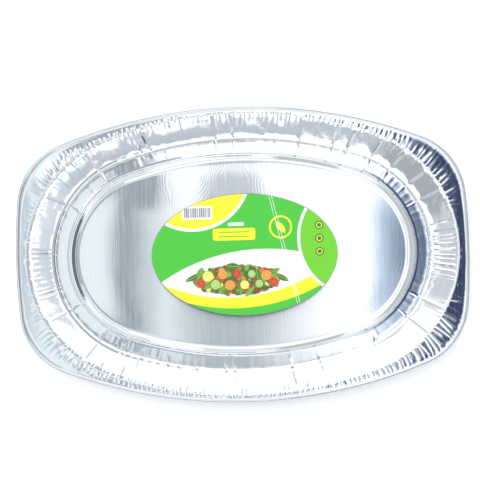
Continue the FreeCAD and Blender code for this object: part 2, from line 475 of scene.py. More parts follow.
def basin_rings(folds, place):
    """Rings over the bead, gutter and wall to the flange, and the outward direction there."""
    line = basin_line()
    slope = np.gradient(line, axis=0)
    slope /= np.linalg.norm(slope, axis=1)[:, None]
    billow = folds.billow(place)
    rings = []
    for (offset, height), (run, rise) in zip(line, slope):
        wide = over_gutter(offset)
        down = down_wall(offset)
        shift = folds.along(folds.slant) * (down + wide) * (1 - smooth_step(0.6, 1, wide))
        x, y, nx, ny = walk_mouth(in_order(place + shift))
        at_foot = math.exp(-((offset + WALL_RUN) / RUMPLE_FADE) ** 2)
        rumple = ripples(x + height, y - height, RUMPLE_LENGTHS, 5) * RUMPLE * (1 + 0.3 * at_foot)
        lift = folds.along(folds.crest(offset)) * RIDGE
        lift = lift + math.sin(math.pi * down) * billow
        lift = lift + rumple * smooth_step(-BEAD_OUTSIDE, -BEAD_OUTSIDE + RUMPLE_FADE, offset)
        lift = lift * (offset > -BEAD_OUTSIDE)
        up = height + lift * run
        out = offset - lift * rise
        rings.append(np.column_stack([x + nx * out, y + ny * out, np.clip(up, SHEET, TOP)]))
    return rings, nx, ny


def flange_edge(folds, start, nx, ny):
    """Where each line over the flange meets the rolled rim, and how far out that is."""
    fan = np.sign(ny) * SIDE_FAN * smooth_step(0.2, 0.9, abs(ny))
    heading = np.column_stack([nx, ny + fan])
    lean = folds.along(folds.lean)
    heading = heading + np.column_stack([-ny, nx]) * lean[:, None]
    heading /= np.linalg.norm(heading, axis=1)[:, None]
    near, far = np.zeros(len(start)), np.full(len(start), FARTHEST_EDGE)
    for _ in range(EDGE_HALVINGS):
        middle = (near + far) / 2
        tried = start[:, :2] + heading * middle[:, None]
        reach, _, _ = rim_reach(tried[:, 0], tried[:, 1])
        inside = reach < -CURL_WIDTH
        near, far = np.where(inside, middle, near), np.where(inside, far, middle)
    edge = start[:, :2] + heading * near[:, None]
    # crimps that lean together meet at the rim, but never cross
    edge = edge[np.argsort(np.unwrap(np.arctan2(edge[:, 1], edge[:, 0])))]
    for _ in range(EDGE_SMOOTHINGS):
        edge = edge / 2 + (np.roll(edge, 1, axis=0) + np.roll(edge, -1, axis=0)) / 4
    return edge, near


def flange_rings(folds, start, edge):
    """Rings from the mouth's bend across the flange to the rolled rim."""
    rings = []
    for part in FLANGE_PARTS:
        at = start[:, :2] + (edge - start[:, :2]) * part
        fade = 1 - smooth_step(0.6, 1, part / folds.flange_end)
        fade = fade * (1 - smooth_step(0.85, 1, part))
        lift = folds.along(folds.flange * fade) * RIDGE
        rumple = ripples(at[:, 0], at[:, 1], FLANGE_LENGTHS, 6) * FLANGE_RUMPLE
        rumple = rumple * (1 - smooth_step(0.8, 1, part))
        rings.append(np.column_stack([at, np.minimum(FLANGE_LEVEL + lift + rumple, TOP)]))
    return rings


def curl_rings(edge):
    """Rings round the rolled rim, which is dented a little all along."""
    x, y = edge.T
    _, out_x, out_y = rim_reach(x, y)
    dent = (1 + ripples(x, y, DENT_LENGTHS, 7) / 2) * DENT
    rings = []
    for offset, height in curl_line():
        out = offset - dent * smooth_step(0, CURL_WIDTH, offset)
        rings.append(np.column_stack([x + out_x * out, y + out_y * out, np.full(len(out), height)]))
    return rings


def flattened(place, edge_distance):
    """Each ring's places on the flattened sheet: round it, and out from the mouth."""
    line = basin_line()
    angle = place / MOUTH_LENGTH * 2 * math.pi
    round_sheet = np.column_stack([np.cos(angle), np.sin(angle)]) * MOUTH_LENGTH / (2 * math.pi)
    outs = [np.full(len(place), offset) for offset, _ in line]
    outs += [line[-1][0] + edge_distance * part for part in FLANGE_PARTS]
    outs += [np.full(len(place), CURL_START) for _ in curl_line()]
    return [np.column_stack([round_sheet, out]) for out in outs]


def halve(ring):
    """Every second point of a ring."""
    return ring[::2]


def halve_inside_gutter(rings):
    """Turn the rings to run inward, with half the points from the bead on."""
    rings = rings[::-1]
    bead = len(rings) - BEAD_ROWS
    return rings[:bead] + [halve(ring) for ring in rings[bead:]]


def sheet_rings(folds):
    """Rings of points over the top side, from the rolled edge to the middle of the floor.

    Each ring comes with its places on the flattened sheet.
    """
    place = folds.columns()
    basin, nx, ny = basin_rings(folds, place)
    edge, edge_distance = flange_edge(folds, basin[-1], nx, ny)
    rings = halve_inside_gutter(basin + flange_rings(folds, basin[-1], edge) + curl_rings(edge))
    sheet = halve_inside_gutter(flattened(place, edge_distance))

    floor_edge, sheet_edge = halve(rings[-1]), halve(sheet[-1])
    rings[-1][:, 2] = SHEET
    for part in 1 - np.arange(1, FLOOR_RINGS) / FLOOR_RINGS:
        ring = floor_edge if part > 0.5 else halve(floor_edge)
        flat_edge = sheet_edge if part > 0.5 else halve(sheet_edge)
        flat = ring[:, :2] * part
        inward = (1 - part) * np.hypot(ring[:, 0], ring[:, 1])
        rings.append(np.column_stack([flat, floor_height(flat[:, 0], flat[:, 1], inward)]))
        sheet.append(flat_edge - inward[:, None] * (0, 0, 1))
    return rings, sheet


def stitched(outer, inner):
    """Faces between two closed rings of points, the inner with as many or half as many."""
    after = inner[1:] + inner[:1]
    if len(outer) == len(inner):
        return list(zip(outer, outer[1:] + outer[:1], after, inner))
    faces = []
    for a, b, c, d, e in zip(outer[::2], outer[1::2], outer[2::2] + outer[:1], inner, after):
        faces += [(a, b, d), (b, e, d), (b, c, e)]
    return faces


def vertex_normals(points, faces):
    """Upper-side direction at each point of an open surface."""
    mesh = bpy.data.meshes.new("side")
    mesh.from_pydata(points.tolist(), [], faces)
    normals = np.zeros(len(points) * 3, dtype=np.float32)
    mesh.vertex_normals.foreach_get("vector", normals)
    bpy.data.meshes.remove(mesh)
    return normals.reshape(-1, 3)


def mesh_object(name, points, faces, flat_places):
    """Make a smooth mesh, with flat places for its face corners in a texture layout."""
    mesh = bpy.data.meshes.new(name)
    mesh.from_pydata(np.asarray(points).tolist(), [], faces)
    layer = mesh.uv_layers.new(name="OFBake")
    layer.data.foreach_set("uv", np.asarray(flat_places, dtype=np.float32).ravel())
    mesh.shade_smooth()
    piece = bpy.data.objects.new(name, mesh)
    bpy.context.scene.collection.objects.link(piece)
    return piece


def sharpen(mesh, ring_of):
    """Mark sharp edges: bends round the sheet only if steep, folds across it even if slight."""
    shape = bmesh.new()
    shape.from_mesh(mesh)
    for edge in shape.edges:
        first, second = (ring_of[vertex.index] for vertex in edge.verts)
        limit = SHARP_BEND if first == second else SHARP_FOLD
        edge.smooth = edge.calc_face_angle(0) < limit
    shape.to_mesh(mesh)
    shape.free()


def flat_panel(points, side):
    """Lay points of one side flat, seen from above."""
    flat = (points[:, :2] + (HALF_LENGTH, HALF_WIDTH)) * PANEL_SCALE + PANEL_EDGE
    return flat + (0, side * PANEL_STEP)


def flat_strips(columns, rows):
    """Lay bands of four-cornered faces flat as strips, cut into equal lengths."""
    column = np.arange(columns)
    strip = column // (columns // STRIPS)
    along = (column % (columns // STRIPS))[:, None] + np.array([0, 1, 1, 0])
    u = STRIP_START + along / (columns // STRIPS) * STRIP_LENGTH
    v = PANEL_EDGE + strip[:, None] * STRIP_STEP
    places = []
    for row in rows:
        level = v + (row + 1 + np.array([0, 0, 1, 1])) * STRIP_ROW
        places.append(np.stack([u, level], axis=-1))
    return np.concatenate(places)


def foil_layout(top, faces, columns):
    """Flat places of every face corner: both sides as panels, the rolled rim as strips."""
    curl_rows = len(curl_line()) - 1
    strips = flat_strips(columns, range(curl_rows))
    rim_corners = strips.size // 2
    above = flat_panel(top[[point for face in faces for point in face]], 0)
    above[:rim_corners] = strips.reshape(-1, 2)
    below = flat_panel(top[[point for face in faces for point in reversed(face)]], 1)
    below[:rim_corners] = strips[:, ::-1].reshape(-1, 2) + (0, PANEL_STEP)
    edge = flat_strips(columns, [-1])[:, [2, 3, 0, 1]].reshape(-1, 2)
    return np.vstack([above, below, edge])


def platter_foil():
    """The sheet: a top side, an underside one thickness below it and the edge between them."""
    rings, sheet = sheet_rings(Folds())
    sizes = [len(ring) for ring in rings]
    ends = np.cumsum(sizes)
    numbers = [list(range(end - size, end)) for size, end in zip(sizes, ends)]
    middle = ends[-1]
    crown = floor_height(np.zeros(1), np.zeros(1), HALF_WIDTH)[0]
    top = np.vstack(rings + [[(0, 0, crown)]])
    faces = [face for outer, inner in zip(numbers, numbers[1:]) for face in stitched(outer, inner)]
    last = numbers[-1]
    faces += [(a, b, middle) for a, b in zip(last, last[1:] + last[:1])]

    under = top - vertex_normals(top, faces) * SHEET
    turned = [tuple(point + len(top) for point in reversed(face)) for face in faces]
    edge = numbers[0]
    around = zip(edge, edge[1:] + edge[:1])
    rolled_edge = [(b, a, a + len(top), b + len(top)) for a, b in around]
    flat_places = foil_layout(top, faces, len(edge))
    all_faces = faces + turned + rolled_edge
    piece = mesh_object("platter_foil", np.vstack([top, under]), all_faces, flat_places)

    ring_of = np.append(np.repeat(np.arange(len(rings)), sizes), -1)
    sharpen(piece.data, np.append(ring_of, ring_of))
    on_sheet = np.vstack(sheet + [[(0, 0, -HALF_LENGTH)]])
    places = piece.data.attributes.new("Place On Sheet", "FLOAT_VECTOR", "POINT")
    places.data.foreach_set("vector", np.vstack([on_sheet, on_sheet]).astype(np.float32).ravel())
    return piece


# ---- the label -----------------------------------------------------------------------
LABEL_LIFT = 3.6 * MM
LABEL_GAP = 0.08 * MM
LABEL_COLUMNS = 150
LABEL_ROWS = 44
CREASE_X = 40 * MM
CREASE_LEAN = -12.5 / 52.5
CREASE_APART = 2.6 * MM
CREASE_HEIGHT = 0.28 * MM
LABEL_WAVE = 0.12 * MM
LABEL_LENGTHS = (40 * MM, 90 * MM)
# places of the card's two sides in its texture layout, as shares of its width
LABEL_SCALE = 0.735 / (2 * LABEL_HALF_LENGTH)
LABEL_MIDDLE = (0.4, 0.26)
LABEL_SIDE_STEP = 0.49


def label_height(x, y):
    """How high the warped card stands above the plane that the platter stands on."""
    low_side = smooth_step(-0.1, -1.0, y / LABEL_HALF_WIDTH) ** 1.4
    lift = LABEL_LIFT * low_side * (1 - 0.35 * (x / LABEL_HALF_LENGTH - 0.1) ** 2)
    from_crease = x - CREASE_X - CREASE_LEAN * y
    from_line = abs(abs(from_crease) - CREASE_APART / 2)
    fold = CREASE_HEIGHT * smooth_step(CREASE_APART / 2, 0, from_line)
    waves = LABEL_WAVE * (1 + ripples(x, y, LABEL_LENGTHS, 8))
    inward = np.maximum(HALF_WIDTH - FLOOR_INSET - FLANGE_AT_SIDE - abs(y), 0)
    floor = floor_height(x + LABEL_X, y + LABEL_Y, inward)
    return floor + LABEL_GAP + lift + fold + np.maximum(waves, 0)


def label_card():
    """The card: columns that lean with the crease, cut off by the oval outline."""
    spacing = np.cos(np.linspace(math.pi, 0, LABEL_COLUMNS))
    reach = math.hypot(LABEL_HALF_LENGTH, CREASE_LEAN * LABEL_HALF_WIDTH)
    crease = np.array([-1, -0.5, 0, 0.5, 1]) * CREASE_APART
    starts = np.sort(np.concatenate([spacing * reach * 0.9999, CREASE_X + crease]))
    # where the column x = start + lean * y meets the ellipse
    a, b = LABEL_HALF_LENGTH ** 2, LABEL_HALF_WIDTH ** 2
    square = b * CREASE_LEAN ** 2 + a
    centre = -b * CREASE_LEAN * starts / square
    half = np.sqrt(np.maximum(centre ** 2 - b * (starts ** 2 - a) / square, 0))
    rows = np.sin(np.linspace(-math.pi / 2, math.pi / 2, LABEL_ROWS))
    y = centre[:, None] + half[:, None] * rows
    x = starts[:, None] + CREASE_LEAN * y
    z = label_height(x, y)
    count = x.size
    grid = np.arange(count).reshape(x.shape)
    under = np.column_stack([(x + LABEL_X).ravel(), (y + LABEL_Y).ravel(), z.ravel()])
    over = under + (0, 0, CARD)
    corners = [grid[:-1, :-1], grid[1:, :-1], grid[1:, 1:], grid[:-1, 1:]]
    cells = np.stack(corners, axis=-1).reshape(-1, 4)
    rim = np.concatenate([grid[:, 0], grid[-1, 1:], grid[-2::-1, -1], grid[0, -2:0:-1]])
    after = np.roll(rim, -1)
    sides = np.stack([rim, after, after + count, rim + count], axis=-1)
    faces = np.vstack([cells + count, cells[:, ::-1], sides])
    flat = np.vstack([under, over])[:, :2] - (LABEL_X, LABEL_Y)
    places = flat[faces.ravel()] * LABEL_SCALE + LABEL_MIDDLE
    side_of = np.repeat([0, 1, 1], [len(cells) * 4, len(cells) * 4, len(sides) * 4])
    places[:, 1] += side_of * LABEL_SIDE_STEP
    return mesh_object("label_card", np.vstack([under, over]), faces.tolist(), places)


# ---- node tools ----------------------------------------------------------------------
FLOAT, COLOUR, VECTOR = "NodeSocketFloat", "NodeSocketColor", "NodeSocketVector"


def connect(value, socket):
    """Link what a node gives to a socket, or set a plain value."""
    if isinstance(value, Value):
        socket.id_data.links.new(value.socket, socket)
    else:
        socket.default_value = value


def add_node(tree, kind, values=(), output=0, **settings):
    """Add a node with its input values, in order or by name, and give one of its outputs."""
    node = tree.nodes.new("ShaderNode" + kind)
    for name, setting in settings.items():
        setattr(node, name, setting)
    named = values.items() if isinstance(values, dict) else enumerate(values)
    for name, value in named:
        connect(value, node.inputs[name])
    return Value(node.outputs[output])


def opaque(colour):
    """A plain colour with its opacity, or a node's colour as it is."""
    return (*colour, 1) if isinstance(colour, tuple) else colour


class Value:
    """What one output of a node gives: a number, a place or a colour. Sums on it add nodes."""

    def __init__(self, socket):
        self.socket = socket
        self.tree = socket.id_data

    def maths(self, kind, *others):
        """One maths node."""
        return add_node(self.tree, "Math", (self, *others), operation=kind)

    def __add__(self, other):
        return self.maths("ADD", other)

    def __sub__(self, other):
        return self.maths("SUBTRACT", other)

    def __rsub__(self, other):
        return add_node(self.tree, "Math", (other, self), operation="SUBTRACT")

    def __mul__(self, other):
        return self.maths("MULTIPLY", other)

    def __truediv__(self, other):
        return self.maths("DIVIDE", other)

    def __rtruediv__(self, other):
        return add_node(self.tree, "Math", (other, self), operation="DIVIDE")

    def __abs__(self):
        return self.maths("ABSOLUTE")

    def sine(self):
        """Sine of the number, as an angle."""
        return self.maths("SINE")

    def larger(self, other):
        """The larger of two numbers."""
        return self.maths("MAXIMUM", other)

    def step(self, low, high, start=0.0, end=1.0):
        """Rise smoothly from start to end while the number goes from low to high."""
        values = (self, low, high, start, end)
        return add_node(self.tree, "MapRange", values, interpolation_type="SMOOTHSTEP")

    def within(self, low, high, edge):
        """1 where the number is between low and high, with soft edges."""
        return self.step(low - edge, low + edge) * self.step(high - edge, high + edge, 1, 0)

    def blend(self, first, second):
        """Mix two colours: the first where the number is 0, the second where it is 1."""
        # the node's colours go in at 6 and 7 and come out at 2
        values = {0: self, 6: opaque(first), 7: opaque(second)}
        return add_node(self.tree, "Mix", values, 2, data_type="RGBA")

    def ramp(self, colours, kind="LINEAR"):
        """Look a colour up by the number, in a list of (place, colour)."""
        found = add_node(self.tree, "ValToRGB", (self,))
        found.socket.node.color_ramp.interpolation = kind
        stops = found.socket.node.color_ramp.elements
        while len(stops) < len(colours):
            stops.new(0.5)
        for stop, (place, colour) in zip(stops, colours):
            stop.position = place
            stop.color = opaque(colour)
        return found

    def vector(self, kind, *others):
        """One vector maths node."""
        output = "Value" if kind in ("LENGTH", "DISTANCE") else "Vector"
        return add_node(self.tree, "VectorMath", (self, *others), output, operation=kind)

    def parts(self):
        """The three parts of a place or a colour."""
        first = add_node(self.tree, "SeparateXYZ", (self,))
        return [Value(output) for output in first.socket.node.outputs]

    def noise(self, scale, detail=2.0, roughness=0.5):
        """Soft noise over a place, about 0.5 on average."""
        values = {"Vector": self, "Scale": scale, "Detail": detail, "Roughness": roughness}
        return add_node(self.tree, "TexNoise", values, "Fac")


def object_place(tree):
    """Place on the object, in metres."""
    return add_node(tree, "TexCoord", output="Object")


def camera_ray(tree):
    """1 for what the camera sees directly, 0 for what is seen reflected."""
    return add_node(tree, "LightPath", output="Is Camera Ray")


def new_group(name, inputs, outputs):
    """Start a shader node group with named inputs (name, kind, value) and outputs (name, kind)."""
    tree = bpy.data.node_groups.new(name, "ShaderNodeTree")
    for socket_name, kind, value in inputs:
        socket = tree.interface.new_socket(socket_name, in_out="INPUT", socket_type=kind)
        socket.default_value = value
    for socket_name, kind in outputs:
        tree.interface.new_socket(socket_name, in_out="OUTPUT", socket_type=kind)
    given = tree.nodes.new("NodeGroupInput").outputs
    made = tree.nodes.new("NodeGroupOutput").inputs
    return tree, {socket.name: Value(socket) for socket in given}, made


def place_group(group, place, **values):
    """Place a node group where its place comes from, with its other values by input name."""
    node = place.tree.nodes.new("ShaderNodeGroup")
    node.node_tree = group
    connect(place, node.inputs["Place"])
    for name, value in values.items():
        connect(value, node.inputs[name])
    return {socket.name: Value(socket) for socket in node.outputs}


def new_material(name, slot_values):
    """A Principled material with plain values on its own sockets."""
    material = bpy.data.materials.new(name)
    material.use_nodes = True
    shader = material.node_tree.nodes["Principled BSDF"]
    for socket, value in slot_values.items():
        shader.inputs[socket].default_value = value
    return material, material.node_tree, shader.inputs


def raise_surface(slots, height, distance):
    """Raise a height on a shader's surface."""
    bump = add_node(height.tree, "Bump", {"Distance": distance, "Height": height}, "Normal")
    connect(bump, slots["Normal"])


# ---- shared effects ------------------------------------------------------------------
PLACE = [("Place", VECTOR, (0, 0, 0))]


def crease_in(place, scale, detail=2.0):
    """Distance of a soft noise from its middle: sharp valleys between rounded swells."""
    return abs(place.noise(scale, detail) - 0.5)


def rolling_streaks():
    """Fine lines that rolling leaves along Y, which swirl like watered silk."""
    widths = [("Line Width", FLOAT, 0.0022), ("Swirl Width", FLOAT, 0.0042), ("Swirl", FLOAT, 3.0)]
    outputs = [("Height", FLOAT), ("Tone", FLOAT)]
    group, given, made = new_group("rolling streaks", PLACE + widths, outputs)
    place = given["Place"]
    x, y, _ = place.parts()
    lines = place.vector("MULTIPLY", (1, 0.035, 1)).noise(1.0 / given["Line Width"], 3.0, 0.6)
    bend = (place.vector("MULTIPLY", (26, 16, 1)).noise(1.0, 1.0) - 0.5) * given["Swirl"]
    turns = x / given["Swirl Width"] + bend * 6.0
    patches = place.noise(19.0, 1.0).step(0.45, 0.7, 0, 0.3)
    beside_card = y.step(35 * MM, 60 * MM) * x.within(-75 * MM, 50 * MM, 12 * MM)
    silk = (turns * (2 * math.pi)).sine() * patches.larger(beside_card) * 0.6
    connect(lines + silk, made["Height"])
    connect(lines.step(0.35, 0.65), made["Tone"])
    return group


def crumple():
    """Small creases and dimples where thin sheet has been gathered."""
    group, given, made = new_group("crumple", PLACE + [("Size", FLOAT, 0.005)], [("Height", FLOAT)])
    scale = 1.0 / given["Size"]
    soft = given["Place"].noise(scale, 2.0, 0.55)
    connect(soft + crease_in(given["Place"], scale * 0.6) * -1.2, made["Height"])
    return group


def radial_wrinkles():
    """Fine wrinkles that run across the sheet's edge, from a place on the flattened sheet."""
    sizes = [("Pitch", FLOAT, 0.0030), ("Length", FLOAT, 0.014)]
    group, given, made = new_group("radial wrinkles", PLACE + sizes, [("Height", FLOAT)])
    x, y, out = given["Place"].parts()
    stretched = (x / given["Pitch"], y / given["Pitch"], out / given["Length"])
    crease = crease_in(add_node(group, "CombineXYZ", stretched), 1.0, 1.0)
    patches = given["Place"].noise(60.0, 1.0).step(0.35, 0.6, 0.3, 1.0)
    connect(crease * -3.0 * patches, made["Height"])
    return group


# ---- shapes of the print, in millimetres ---------------------------------------------
PLACE_AND_CENTRE = PLACE + [("Centre", VECTOR, (0, 0, 0))]
INK_EDGE = 0.18


def inked(beyond):
    """1 inside an edge of ink, from the distance beyond it."""
    return beyond.step(-INK_EDGE, INK_EDGE, 1, 0)


def turned_from(place, centre, turn):
    """Parts of a place measured from a centre, along a turned X and Y."""
    values = {"Vector": place.vector("SUBTRACT", centre), "Angle": turn}
    return add_node(place.tree, "VectorRotate", values, rotation_type="Z_AXIS").parts()


def print_disc():
    """A round field of ink."""
    inputs = PLACE_AND_CENTRE + [("Radius", FLOAT, 1.0)]
    group, given, made = new_group("disc", inputs, [("Inside", FLOAT)])
    far = given["Place"].vector("DISTANCE", given["Centre"])
    connect(inked(far - given["Radius"]), made["Inside"])
    return group


def print_panel():
    """A box of ink with round corners."""
    inputs = PLACE_AND_CENTRE + [("Size", VECTOR, (1, 1, 0)), ("Corner", FLOAT, 1.0)]
    group, given, made = new_group("panel", inputs, [("Inside", FLOAT)])
    off = given["Place"].vector("SUBTRACT", given["Centre"]).vector("ABSOLUTE")
    past = off.vector("SUBTRACT", given["Size"]).vector("MAXIMUM", (0, 0, 0))
    connect(inked(past.vector("LENGTH") - given["Corner"]), made["Inside"])
    return group


def print_bars():
    """Plain upright bars of uneven width."""
    group, given, made = new_group("bars", PLACE + [("Pitch", FLOAT, 2.0)], [("Inside", FLOAT)])
    x, _, _ = given["Place"].parts()
    turns = x / given["Pitch"] * (2 * math.pi)
    waves = turns.sine() + (turns * 1.73).sine()
    connect(waves.step(-0.1, 0.3), made["Inside"])
    return group


def print_leaf():
    """A pointed leaf with a middle vein and side veins."""
    sizes = [("Turn", FLOAT, 0.0), ("Length", FLOAT, 8.0), ("Width", FLOAT, 3.0)]
    outputs = [("Inside", FLOAT), ("Vein", FLOAT)]
    group, given, made = new_group("leaf", PLACE_AND_CENTRE + sizes, outputs)
    x, y, _ = turned_from(given["Place"], given["Centre"], given["Turn"])
    part = x / given["Length"]
    off = abs(y)
    inside = inked(off - given["Width"] * (1.0 - part * part))
    side_veins = ((x + off) * 3.0).sine().step(0.8, 1.0, 0, 0.6)
    veins = off.step(0.1, 0.4, 1, 0).larger(side_veins)
    connect(inside, made["Inside"])
    connect(inside * veins, made["Vein"])
    return group


def print_slice():
    """A cut round of fruit: rind, pith and a ring of cells."""
    inputs = PLACE_AND_CENTRE + [
        ("Radius", FLOAT, 5.0), ("Cells", FLOAT, 8.0), ("Turn", FLOAT, 0.0),
        ("Rind", COLOUR, (1, 0, 0, 1)), ("Flesh", COLOUR, (1, 0.5, 0, 1)),
        ("Pith", COLOUR, (1, 1, 1, 1)),
    ]
    group, given, made = new_group("slice", inputs, [("Inside", FLOAT), ("Color", COLOUR)])
    x, y, _ = turned_from(given["Place"], given["Centre"], given["Turn"])
    part = given["Place"].vector("DISTANCE", given["Centre"]) / given["Radius"]
    spokes = abs((y.maths("ARCTAN2", x) * (given["Cells"] / 2.0)).sine())
    wall = (spokes * part).step(0.08, 0.2, 1, 0)
    ring = part.step(0.76, 0.82).larger(part.step(0.10, 0.16, 1, 0))
    colour = wall.larger(ring).blend(given["Flesh"], given["Pith"])
    connect(part.step(0.86, 0.91).blend(colour, given["Rind"]), made["Color"])
    connect(part.step(0.97, 1.02, 1, 0), made["Inside"])
    return group


CHOPPED_COLOURS = (
    (0.0, (0.05, 0.22, 0.015)), (0.24, (0.20, 0.48, 0.04)), (0.42, (0.55, 0.03, 0.01)),
    (0.55, (0.84, 0.27, 0.03)), (0.75, (0.90, 0.78, 0.20)), (0.86, (0.10, 0.32, 0.03)),
)
BETWEEN_PIECES = (0.03, 0.07, 0.012)


def print_chopped():
    """An oval heap of small cut pieces in greens, reds and oranges."""
    inputs = PLACE_AND_CENTRE + [("Size", VECTOR, (40, 14, 1)), ("Piece", FLOAT, 4.5)]
    group, given, made = new_group("chopped heap", inputs, [("Inside", FLOAT), ("Color", COLOUR)])
    place = given["Place"]
    from_centre = place.vector("SUBTRACT", given["Centre"])
    far = from_centre.vector("DIVIDE", given["Size"]).vector("LENGTH")
    ragged = place.noise(0.16, 3.0).maths("MULTIPLY_ADD", 0.5, far)
    connect(ragged.step(1.20, 1.26, 1, 0), made["Inside"])
    pieces = add_node(group, "TexVoronoi", {"Vector": place, "Scale": 1.0 / given["Piece"]}, "Color")
    from_middle = Value(pieces.socket.node.outputs["Distance"])
    pick, _, shade = pieces.parts()
    dark = shade.step(0, 1, 0.15, 0.75) * place.noise(0.9, 3.0).step(0.6, 0.35)
    dark = dark.larger(from_middle.step(0.35, 0.75, 0, 0.7))
    colour = dark.blend(pick.ramp(CHOPPED_COLOURS, "CONSTANT"), BETWEEN_PIECES)
    connect(colour, made["Color"])
    return group


STREAKS = rolling_streaks()
CRUMPLE = crumple()
WRINKLES = radial_wrinkles()
DISC = print_disc()
PANEL = print_panel()
BARS = print_bars()
LEAF = print_leaf()
SLICE = print_slice()
CHOPPED = print_chopped()


# ---- materials -----------------------------------------------------------------------
DIMPLE = (-69 * MM, 80 * MM, 0.2 * MM)
FOIL_TONES = (0.88, 0.895, 0.915), (0.92, 0.93, 0.94)
# painted shade: colour of the rolled rim where it turns downwards
ROLL_PAINTED_SHADE = (0.12, 0.125, 0.14)
# painted shade: colour the sheet is darkened towards in deep folds and under the card, and how far
# the occlusion looks
PAINTED_SHADE = (0.05, 0.055, 0.065)
PAINTED_SHADE_REACH = 18 * MM


def foil_height(place, sheet_place, out, streaks, flat):
    """Height of the rolled lines, small creases, wrinkles and one dimple, in millimetres."""
    gathered = out.within(-0.7 * WALL_RUN, 8 * MM, 3 * MM)
    mouth = out.within(-6 * MM, 6 * MM, 2.5 * MM)
    rolled = streaks["Height"] * (flat * 0.006)
    creases = place_group(CRUMPLE, place, Size=0.006)["Height"]
    small = creases * gathered.step(0, 1, 0.003, 0.009)
    wrinkles = place_group(WRINKLES, sheet_place)["Height"]
    fine = wrinkles * mouth.maths("MULTIPLY_ADD", 0.045, gathered * 0.014)
    dimple = place.vector("DISTANCE", DIMPLE).step(0.2 * MM, 1.3 * MM, -0.15, 0)
    return (rolled + dimple) + (small + fine)


def foil_tone_with_painted_shade(out, streaks, on_floor):
    """Tone of the sheet, with painted shade: darker where the roll turns away, in deep folds and
    under the card.
    """
    tone = streaks["Tone"].blend(*FOIL_TONES)
    _, _, upward = add_node(out.tree, "NewGeometry", output="Normal").parts()
    # painted shade: the roll's colour is darkened where its surface turns downwards
    roll_shade = out.step(40 * MM, 45 * MM) * upward.step(0.90, 0.62, 0.12, 0.74)
    tone = roll_shade.blend(tone, ROLL_PAINTED_SHADE)
    # painted shade: occlusion darkens the sheet's colour in deep folds, and more on the floor under
    # the card's lifted edge
    shut_in = add_node(out.tree, "AmbientOcclusion", {"Distance": PAINTED_SHADE_REACH}, "AO", samples=8)
    fold_shade = shut_in.step(0.96, 0.55, 0, 0.6)
    card_shadow = shut_in.step(0.99, 0.62, 0, 0.8)
    shade = fold_shade.larger(card_shadow * on_floor) * upward.step(-0.2, 0.2)
    return shade.blend(tone, PAINTED_SHADE)


def bright_foil():
    """Soft aluminium foil: rolled lines on the floor, small creases where it is gathered."""
    material, tree, slots = new_material("bright foil", {"Metallic": 1.0, "IOR": 1.45})
    place = object_place(tree)
    sheet_place = add_node(tree, "Attribute", output="Vector", attribute_name="Place On Sheet")
    _, _, out = sheet_place.parts()
    on_floor = out.step(-BEAD_INSIDE - 1.5 * MM, -BEAD_INSIDE + 1.5 * MM, 1, 0)
    on_bead = out.within(-BEAD_INSIDE, -BEAD_OUTSIDE, 1 * MM)
    in_gutter = out.within(-BEAD_OUTSIDE, -WALL_RUN - 3 * MM, 1.5 * MM)
    flat = in_gutter.maths("MULTIPLY_ADD", 0.5, on_floor)
    streaks = place_group(STREAKS, place)
    raise_surface(slots, foil_height(place, sheet_place, out, streaks, flat), MM)
    rough = streaks["Tone"].maths("MULTIPLY_ADD", 0.05, 0.05) * on_bead.step(0, 1, 1.0, 0.3)
    connect(rough, slots["Roughness"])
    connect(foil_tone_with_painted_shade(out, streaks, on_floor), slots["Base Color"])
    return material


YELLOW = (0.93, 0.90, 0.02)
LIME = (0.173, 0.64, 0.02)
GREEN = (0.065, 0.564, 0.037)
DEEP_GREEN = (0.03, 0.20, 0.03)
WHITE = (0.90, 0.905, 0.89)
INK = (0.05, 0.05, 0.06)
LEAF_GREEN = (0.08, 0.27, 0.025)
VEIN = (0.34, 0.60, 0.09)
# slices of fruit laid over the heap: rind, flesh and pith, and the number of cells
SLICES = (
    ((0.42, 0.015, 0.006), (0.60, 0.03, 0.012), (0.74, 0.16, 0.05), 5),
    ((0.80, 0.20, 0.01), (0.86, 0.30, 0.03), (0.90, 0.48, 0.14), 9),
    ((0.02, 0.12, 0.015), (0.40, 0.62, 0.13), (0.58, 0.74, 0.26), 3),
    ((0.88, 0.66, 0.02), (0.92, 0.80, 0.10), (0.93, 0.88, 0.40), 8),
)
HEAP_X, HEAP_Y = -8, -25
HEAP_SIZE = (45, 15, 1)
LEAVES = 12
CUT_ROUNDS = 11


class Print:
    """Inks laid on the card one over another, measured in millimetres from its middle."""

    def __init__(self, place):
        self.place = place
        self.colour = WHITE

    def paint(self, mask, ink):
        """Lay an ink over what is there."""
        self.colour = mask.blend(self.colour, ink)

    def shape(self, group, x, y, **values):
        """Place one printed shape."""
        return place_group(group, self.place, Centre=(x, y, 0), **values)

    def disc(self, x, y, radius):
        """Where a round field is."""
        return self.shape(DISC, x, y, Radius=radius)["Inside"]

    def panel(self, x, y, half_length, half_height, corner):
        """Where a box with round corners is."""
        size = (half_length - corner, half_height - corner, 0)
        return self.shape(PANEL, x, y, Size=size, Corner=corner)["Inside"]

    def ring(self, x, y, radius, hole):
        """Where a round field with a round hole is."""
        return self.disc(x, y, radius) * (1.0 - self.disc(x, y, hole))


def print_fields(card):
    """Fields of colour bounded by arcs, each with a white line along it."""
    # white lower field, with a yellow and a green band under it
    card.paint(1.0 - card.disc(-14, 128, 170), YELLOW)
    card.paint(1.0 - card.disc(-10, 128, 180.5), GREEN)
    # green upper field above a low hill
    card.paint(1.0 - card.disc(18, -176, 178), WHITE)
    card.paint(1.0 - card.disc(18, -176, 181), GREEN)
    # lime field on the right and yellow field at the upper left
    card.paint(card.disc(112, 14, 60), WHITE)
    card.paint(card.disc(112, 14, 57), LIME)
    card.paint(card.disc(-50, 82, 58.5), WHITE)
    card.paint(card.disc(-50, 82, 55.5), YELLOW)


